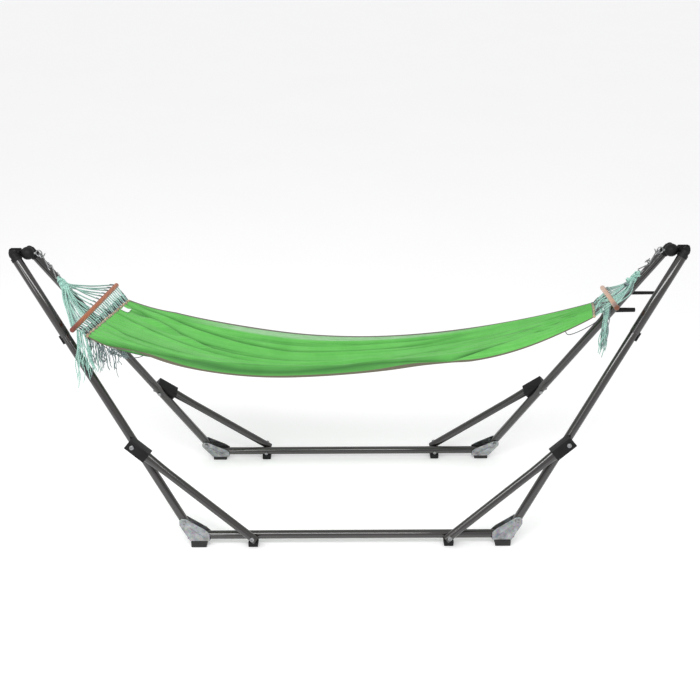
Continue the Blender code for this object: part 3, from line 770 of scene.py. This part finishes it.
for s, label in SIDE.items():
    bar_mid, bar_half = BARS[label]
    eye_x = BALL_X - BALL_R - EYE_MAJOR - EYE_WIRE - 0.003
    eye_at = Vector((s * eye_x, 0.0, TOP_HEIGHT))
    shank_end = NEAR_TOP_X + KNUCKLE_LENGTH / 2 + GAP

    shank = stick(0.0035, eye_x + EYE_MAJOR, shank_end, 24)
    nut = softened(stick(0.0068, shank_end + 0.001, shank_end + 0.0042, 6), 0.0006)
    for piece in (shank, nut):
        piece.data.transform(Matrix.Rotation(s * math.pi / 2, 4, "Y"))
    nothing_selected()
    bpy.ops.mesh.primitive_torus_add(major_radius=EYE_MAJOR, minor_radius=EYE_WIRE,
                                     major_segments=48, minor_segments=16)
    ring = bpy.context.object
    ring.data.transform(Matrix.Translation((s * eye_x, 0, 0)) @ Matrix.Rotation(math.pi / 2, 4, "X"))
    put(joined([shank, nut, ring]), label + "_eye_bolt", Matrix.Translation((0, 0, TOP_HEIGHT)),
        STEEL, "near_frame", [label + "_eye"])

    aim = bar_mid - bar_half * HOOK_LEAN
    hook_at = eye_at + Vector((aim.x - eye_at.x, 0.0, aim.z - eye_at.z)).normalized() * EYE_MAJOR
    pull = (aim - hook_at).normalized()
    across = (Vector((0, 1, 0)) - pull * pull.y).normalized()
    up = pull.cross(across)
    if up.z < 0:
        up = -up
    link_at = hook_at + pull * (HOOK_LENGTH + HOOK_BEND)
    flip = pull.cross(across)
    for word, spot, turn, long, lift in (("upper", hook_at, across, HOOK_LENGTH, up),
                                         ("lower", link_at, flip, LINK_LENGTH, None)):
        wire = tube_mesh("hook", [(s_bend(spot, pull, turn, long, lift), HOOK_WIRE)], 12)
        put(wire, label + "_" + word + "_s_hook", Matrix.Identity(4), STEEL, "hammock",
            [label + "_" + word + "_hook"])

    # spreader bar: round stick with turned ends
    wood = stick(BAR_R, -bar_half.length, bar_half.length, 40)
    for sign in (1, -1):
        pick_faces(wood, lambda centre, normal: normal.z * sign > 0.9)
        bpy.ops.mesh.inset(thickness=0.0018)
        bpy.ops.transform.translate(value=(0, 0, sign * 0.0018))
        done_editing()
    put(softened(wood, 0.0012, 3), label + "_wooden_bar", along(bar_mid, bar_mid + bar_half),
        WOOD[label], "hammock", [label + "_spreader_bar"])

    # suspension cords run from the loop on the lower hook, through a lumpy
    # knot, into the outer side of the bar
    knot = link_at + pull * (LINK_LENGTH + HOOK_BEND + 0.001)
    gather = knot + pull * 0.024
    along_bar = bar_half.normalized()
    to_bar = bar_mid - gather
    outer = -(to_bar - along_bar * to_bar.dot(along_bar)).normalized()
    mint, dark = [], []
    for t in MAIN_CORDS[label]:
        end = bar_mid + bar_half * t + outer * (BAR_R - 0.001)
        sag = Vector((0, 0, -0.004 - 0.004 * chance.random()))
        start = gather + jitter(0.006)
        middle = start.lerp(end, 0.5) + sag
        mint.append((smooth_run([knot + jitter(0.004), start, middle, end], 7), 0.0017))
        # painted shadow: a thin dark strand set just behind and under each main cord stands in for its shadow
        shade = Vector((0, 0.0010, -0.0028))
        dark.append((smooth_run([start + shade, middle + shade, end + shade * 0.6], 7), 0.0012))
        above = Vector((0, 0, 0.0008))
        dark.append((smooth_run([start.lerp(end, 0.90) + above, end + above], 3), 0.0021))
    near_from, near_to, count, crowding = NEAR_CORDS[label]
    for n in range(count):
        t = near_from + (near_to - near_from) * (n / (count - 1)) ** crowding
        end = bar_mid + bar_half * t + outer * (BAR_R - 0.001)
        start = gather + jitter(0.008)
        bow = Vector((0, -0.012 * chance.random(), -0.016 * chance.random()))
        bow += outer * 0.010 * chance.random()
        strand = smooth_run([knot + jitter(0.005), start, start.lerp(end, 0.35) + bow + jitter(0.004),
                             start.lerp(end, 0.7) + bow * 0.7, end], 6)
        (dark if n % 6 == 3 else mint).append((strand, chance.uniform(0.0014, 0.0021)))
    # loop round the hook, and the hitches of the knot
    mint.append((coil(knot + pull * 0.001, up, 0.0075, 0.0055, 1.4, 0.004, 14), 0.0021))
    lumps = 13 if label == "left" else 7
    for n in range(lumps):
        centre = knot + pull * (0.008 + 0.040 * n / lumps) + jitter(0.006) + Vector((0, -0.004, 0))
        mint.append((coil(centre, (pull + jitter(0.6)).normalized(), chance.uniform(0.006, 0.0095),
                          chance.uniform(0.005, 0.008), chance.uniform(1.6, 2.6), 0.009), 0.0022))
    cords(label + "_suspension_cords", mint, MINT, replaces=[label + "_end_cords"])
    if label == "right":
        tie = gather + pull * 0.034 + Vector((0, -0.006, -0.002))
        dark.append((coil(tie, pull, 0.0125, 0.011, 3.0, 0.006, 14), 0.0019))
    # one dark piece: real dark cords and ties, and the painted shadow strands under the main cords
    cords(label + "_dark_suspension_cords", dark, GREY_CORD)


# ------------------------------------------------------------ cloth
def sag_line(x):
    low_x, low_z = BED_LOW
    end = HEMS["left"][0] if x < low_x else HEMS["right"][0]
    return low_z + (end.z - low_z) * ((x - low_x) / (end.x - low_x)) ** 2


# Each fold: its path as (share of the length, place across with the far edge
# at +1), its strength in shading, its width across and its depth.
FOLDS = [
    ([(0.0, 0.80), (0.05, 0.62), (0.21, 0.12), (0.32, 0.0), (0.42, -0.05), (0.62, -0.12)], 1.0, 0.042, 0.017),
    ([(0.0, -1.0), (0.12, -0.86), (0.29, -0.70), (0.39, -0.72), (0.50, -0.76), (0.72, -0.90)],
     1.0, 0.050, 0.015),
    ([(0.72, -0.90), (0.77, -0.80), (0.81, -0.72), (0.87, -0.56), (1.0, -0.10)], 0.90, 0.045, 0.008),
    ([(0.0, 0.95), (0.15, 0.70), (0.26, 0.58), (0.36, 0.50), (0.55, 0.53), (0.70, 0.62)], 0.75, 0.030, 0.009),
    ([(0.0, 0.30), (0.08, 0.14), (0.15, 0.04), (0.30, -0.20), (0.45, -0.30)], 0.70, 0.032, 0.009),
    ([(0.0, -0.25), (0.05, -0.40), (0.15, -0.45), (0.28, -0.45), (0.40, -0.50)], 0.60, 0.034, 0.008),
    ([(0.0, 0.62), (0.07, 0.50), (0.16, 0.33), (0.30, 0.20), (0.42, 0.15)], 0.55, 0.028, 0.007),
    ([(0.02, -0.55), (0.08, -0.68), (0.16, -0.72), (0.26, -0.74)], 0.45, 0.030, 0.006),
    ([(0.48, -0.10), (0.65, 0.02), (0.75, 0.18), (0.85, 0.36), (1.0, 0.45)], 0.45, 0.050, 0.008),
    ([(0.55, -0.62), (0.70, -0.48), (0.82, -0.30), (0.92, 0.05), (1.0, 0.20)], 0.35, 0.040, 0.007),
    ([(0.60, 0.80), (0.75, 0.74), (0.88, 0.72), (1.0, 0.70)], 0.35, 0.030, 0.005)]
for n in range(30):
    at, first = chance.uniform(0.0, 0.85), chance.uniform(-0.9, 0.9)
    long = chance.uniform(0.12, 0.40)
    drift = chance.uniform(-0.16, 0.10)
    FOLDS.append(([(at, first), (at + long / 2, first + drift * 0.7), (min(1.0, at + long), first + drift)],
                  chance.uniform(0.08, 0.30), chance.uniform(0.020, 0.045), chance.uniform(0.0015, 0.0045)))


def eased(a, b, x):
    q = max(0.0, min(1.0, (x - a) / (b - a)))
    return q * q * (3 - 2 * q)


def fold_place(path, share):
    """Place of a fold across the cloth, and how open it is there."""
    first, last = path[0][0], path[-1][0]
    if share < first - 0.05 or share > last + 0.05:
        return 0.0, 0.0
    here = min(max(share, first), last)
    for (a, u), (b, v) in zip(path, path[1:]):
        if here <= b:
            break
    place = u + (v - u) * (here - a) / max(b - a, 1e-6)
    start = 1.0 if first <= 0.0 else eased(first - 0.05, first + 0.07, share)
    stop = 1.0 if last >= 1.0 else 1.0 - eased(last - 0.10, last + 0.05, share)
    return place, start * stop


def bed_state(t, share):
    """Place of one point of the cloth, and how shaded it lies in the folds."""
    left = HEMS["left"][0] + HEMS["left"][1] * t
    right = HEMS["right"][0] + HEMS["right"][1] * t
    x = left.x + (right.x - left.x) * share
    y = left.y + (right.y - left.y) * share
    middle = math.sin(math.pi * share)
    y -= t * BED_WAIST * middle
    mid_x = HEMS["left"][0].x + (HEMS["right"][0].x - HEMS["left"][0].x) * share
    z = sag_line(mid_x) + BED_RISE * t * t * middle + (right.z - HEMS["right"][0].z) * share ** 4
    z += 0.031 * max(t, 0.0) ** 2 * math.exp(-((share - 0.24) / 0.22) ** 2) * min(1.0, share * 10)
    z -= 0.036 * max(-t, 0.0) ** 1.3 * math.exp(-((share - 0.84) / 0.17) ** 2)
    roll = max(0.0, -t - 0.72) / 0.28
    z -= 0.052 * roll ** 1.6 * middle ** 0.8
    ends = min(1.0, share * 16) * min(1.0, (1 - share) * 16)
    drop, shift, shade = 0.0, 0.0, 0.0
    for path, strength, wide, deep in FOLDS:
        place, opened = fold_place(path, share)
        off = (t - place) / wide
        if opened > 0 and abs(off) < 5:
            groove = math.exp(-off * off)
            roll_over = math.exp(-((off + 2.0) / 1.1) ** 2)
            drop += deep * opened * (groove - 0.60 * roll_over)
            shift += 0.5 * deep * opened * roll_over
            # painted shade in each groove and on the cloth beside it
            in_groove = min(1.0, 1.35 * strength) * opened * math.exp(-(off / 1.15) ** 2)
            beside = 0.45 * strength * opened * math.exp(-((off - 1.2) / 1.3) ** 2)
            shade = max(shade, in_groove, beside)
    # painted shade over the cloth below the lower fold
    under, opened = fold_place(FOLDS[1][0], share)
    hidden = 0.72 * opened * eased(under + 0.01, under - 0.05, t)
    shade = max(shade, hidden * (0.75 + 0.25 * math.sin(40 * t)))
    near_hem = math.exp(-share / 0.08) + 1.3 * math.exp(-(1 - share) / 0.14)
    gathers = 0.0020 * math.sin(t * 55 + 3 * math.sin(t * 5)) * near_hem
    z = z - drop * (0.15 + 0.85 * ends) + gathers
    return Vector((x, y + shift * ends, z)), shade * (0.25 + 0.75 * ends)


def bed_point(t, share):
    return bed_state(t, share)[0]


nothing_selected()
bpy.ops.mesh.primitive_grid_add(x_subdivisions=180, y_subdivisions=224, size=2.0)
bed = bpy.context.object
for layer in list(bed.data.uv_layers):
    bed.data.uv_layers.remove(layer)
layer = bed.data.uv_layers.new(name="cloth")
for loop in bed.data.loops:
    co = bed.data.vertices[loop.vertex_index].co
    layer.data[loop.index].uv = ((co.y + 1) / 2, (co.x + 1) / 2)
fold_shade = bed.data.attributes.new("fold_shade", "FLOAT", "POINT")
for vert in bed.data.vertices:
    vert.co, fold_shade.data[vert.index].value = bed_state(vert.co.y, (vert.co.x + 1) / 2)
change = bed.modifiers.new("cloth_thickness", "SOLIDIFY")
change.thickness = 0.0014
change.offset = 0.0
all_modifiers_on(bed)
bed = put(bed, "green_cloth_bed", Matrix.Identity(4), CLOTH, "hammock", ["hammock_bed"], smooth=80)

# hems, lacing, fringe
def hem_radius(n):
    return 0.0044 + 0.0009 * math.sin(n * 1.7) + 0.0005 * math.sin(n * 0.6)


for s, label in SIDE.items():
    bar_mid, bar_half = BARS[label]
    share = 0.0 if label == "left" else 1.0
    rim = [bed_point(-1 + 2 * n / 90, share) + Vector((s * 0.002, 0, 0)) for n in range(91)]
    cords(label + "_canvas_hem", [(rim, hem_radius)], HEM, 14)
    stitches = []
    for n in range(3, 88, 3):
        step = (rim[n + 1] - rim[n - 1]).normalized()
        stitches.append((coil(rim[n], step, 0.0054, 0.0054, 1.15, 0.003, 9), 0.0009))
    cords(label + "_hem_stitches", stitches, GREY_CORD, sides=5)

    lace, dark_lace = [], []
    ties, reach = (27, 0.93) if label == "left" else (11, 0.62)
    to_hem = Vector((-s, 0, -0.15)).normalized()
    for n in range(ties):
        t0 = -reach + 2 * reach * n / (ties - 1)
        t1 = t0 + reach / (ties - 1)
        hole = bar_mid + bar_half * (t0 if label == "left" else t0 * 0.9 - 0.1) + to_hem * (BAR_R - 0.001)
        off_hem = Vector((s * 0.005, 0, 0.001))
        a = bed_point(max(-0.98, min(0.98, t0 / reach * 0.97)), share) + off_hem
        c = bed_point(max(-0.98, min(0.98, t1 / reach * 0.97)), share) + off_hem
        half_way = hole.lerp(a, 0.5)
        above = Vector((0, 0, 0.002))
        lace.append((smooth_run([hole, half_way + jitter(0.0015) + above, a], 5), 0.0021))
        dark_lace.append((smooth_run([hole - above, hole.lerp(c, 0.5) + jitter(0.002), c], 5), 0.0020))
        bend = hole.lerp(c, 0.55) + Vector((0, 0.002, 0.003))
        dark_lace.append((smooth_run([bend, c.lerp(a, -0.6)], 4), 0.0016))
        tie_way = (a - hole).normalized()
        lace.append((coil(hole.lerp(a, 0.62), tie_way, 0.0034, 0.0034, 1.6, 0.004, 8), 0.0015))
    if label == "right":
        for n in range(14):
            t = chance.uniform(-0.9, 0.9)
            start = bar_mid + bar_half * chance.uniform(-0.55, 0.35) + to_hem * BAR_R
            end = bed_point(t, share) + Vector((0.005, 0, 0.002))
            (dark_lace if n % 4 == 1 else lace).append(
                (smooth_run([start, start.lerp(end, 0.5) + jitter(0.010), end], 6),
                 chance.uniform(0.0015, 0.0024)))
    cords(label + "_mint_lacing", lace, MINT)
    cords(label + "_dark_lacing", dark_lace, DARK_CORD)

    # tassel and fringe hang straight down
    mint, grey = [], []
    if label == "left":
        roots = [(bar_mid + bar_half * chance.uniform(-0.96, -0.74)
                  + Vector((chance.uniform(0.004, 0.020), 0, -BAR_R)),
                  chance.uniform(0.12, 0.205), 1, 0.026) for _ in range(15)]
        roots += [(bed_point(-1 + 0.5 * chance.random(), 0.0) + Vector((-0.004, 0, -0.006)),
                   chance.uniform(0.10, 0.165), chance.random() < 0.6, 0.020) for _ in range(14)]
        roots += [(bed_point(chance.uniform(-0.99, -0.86), chance.uniform(0.0, 0.055))
                   + Vector((0, 0, -0.006)),
                   chance.uniform(0.05, 0.115), 0, 0.016) for _ in range(26)]
    else:
        middle = bar_mid - bar_half * 0.35
        roots = [(middle + bar_half * chance.uniform(-0.10, 0.10)
                  + Vector((chance.uniform(-0.020, -0.002), 0, -BAR_R)),
                  chance.uniform(0.13, 0.20), chance.random() < 0.8, 0.008) for _ in range(34)]
    for root, long, bright, spread in roots:
        wave, phase = chance.uniform(0.002, 0.008), chance.uniform(0, 6.28)
        away = Vector((chance.uniform(-1, 1), chance.uniform(-1, 1), 0)) * spread
        if label == "right":
            away = Vector((middle.x - 0.010 - root.x, middle.y - root.y, 0)) * 0.6 + away
        run = []
        for k in range(9):
            q = k / 8
            run.append(root + Vector((0, 0, -long * q)) + away * q
                       + Vector((math.sin(phase + 9 * q), math.cos(phase * 1.7 + 7 * q), 0)) * wave * q)
        (mint if bright else grey).append((smooth_run(run, 2), chance.uniform(0.0011, 0.0018)))
    cords(label + "_loose_tassel", mint, MINT, replaces=[label + "_tassel"])
    cords(label + "_grey_fringe", grey, GREY_CORD)

# thin dark drawcord loops that sag under each end of the cloth
for name, points in (
        ("right_drawcord", [bed_point(-0.96, 0.945),
                            bed_point(-0.96, 0.955) + Vector((0.004, 0.01, -0.030)),
                            bed_point(-0.96, 0.985) + Vector((0.006, 0.01, -0.034)),
                            bed_point(-0.96, 1.0) + Vector((0.018, 0, -0.012)),
                            BARS["right"][0] - BARS["right"][1] * 0.35 + Vector((-0.014, 0, -BAR_R))]),
        ("left_drawcord", [bed_point(-0.97, 0.02) + Vector((0, 0, -0.002)),
                           bed_point(-0.97, 0.05) + Vector((0, 0.01, -0.028)),
                           bed_point(-0.97, 0.085) + Vector((0, 0.01, -0.030)),
                           bed_point(-0.97, 0.11)])):
    cords(name, [(smooth_run(points, 10), 0.0014)], DARK_CORD, sides=8)
# the tangle of dark ends beside the left loop
tangle = []
for n in range(16):
    start = bed_point(-0.97, chance.uniform(0.035, 0.070)) + Vector((0, 0.004, -0.004))
    loop = [start, start + Vector((0.008, 0, -0.018)) + jitter(0.010),
            start + Vector((0.004, 0, -0.026)) + jitter(0.010),
            start + Vector((-0.006, 0, -0.012)) + jitter(0.006)]
    tangle.append((smooth_run(loop, 5), 0.0013))
cords("left_cord_tangle", tangle, GREY_CORD)

# small blank label sewn on the cloth near the left hem
nothing_selected()
bpy.ops.mesh.primitive_grid_add(x_subdivisions=12, y_subdivisions=12, size=2.0)
label_piece = bpy.context.object
for vert in label_piece.data.vertices:
    spot = bed_point(0.52 + 0.085 * vert.co.y, 0.012 + 0.0075 * vert.co.x)
    vert.co = spot + Vector((0, 0, 0.0045 + 0.0012 * vert.co.x ** 2))
thick = label_piece.modifiers.new("label_thickness", "SOLIDIFY")
thick.thickness = 0.0006
all_modifiers_on(label_piece)
label_piece = put(label_piece, "blank_sewn_label", Matrix.Identity(4), LABEL, "hammock", smooth=60)

# ------------------------------------------------------------ studio
nothing_selected()
bpy.ops.mesh.primitive_plane_add(size=60.0, location=(0, 0, -0.0005))
floor = bpy.context.object
floor.name = "studio_floor"
floor.data.materials.append(studio_floor())

world = bpy.data.worlds.new("studio_air")
bpy.context.scene.world = world
world.use_nodes = True
world.node_tree.nodes["Background"].inputs[0].default_value = (1.0, 1.0, 1.0, 1.0)
world.node_tree.nodes["Background"].inputs[1].default_value = AIR_LIGHT


def softbox(name, spot, aim, size, power):
    data = bpy.data.lights.new(name, "AREA")
    data.shape = "RECTANGLE"
    data.size, data.size_y = size
    data.energy = power
    lamp = bpy.data.objects.new(name, data)
    lamp.location = spot
    lamp.rotation_euler = (Vector(aim) - Vector(spot)).to_track_quat("-Z", "Y").to_euler()
    bpy.context.scene.collection.objects.link(lamp)


softbox("key_softbox", (-0.5, -1.7, 2.7), (0, 0, 0.4), (3.4, 0.6), 48.0)
softbox("front_softbox", (-2.4, -3.2, 2.2), (0, 0, 0.5), (0.7, 1.8), 14.0)
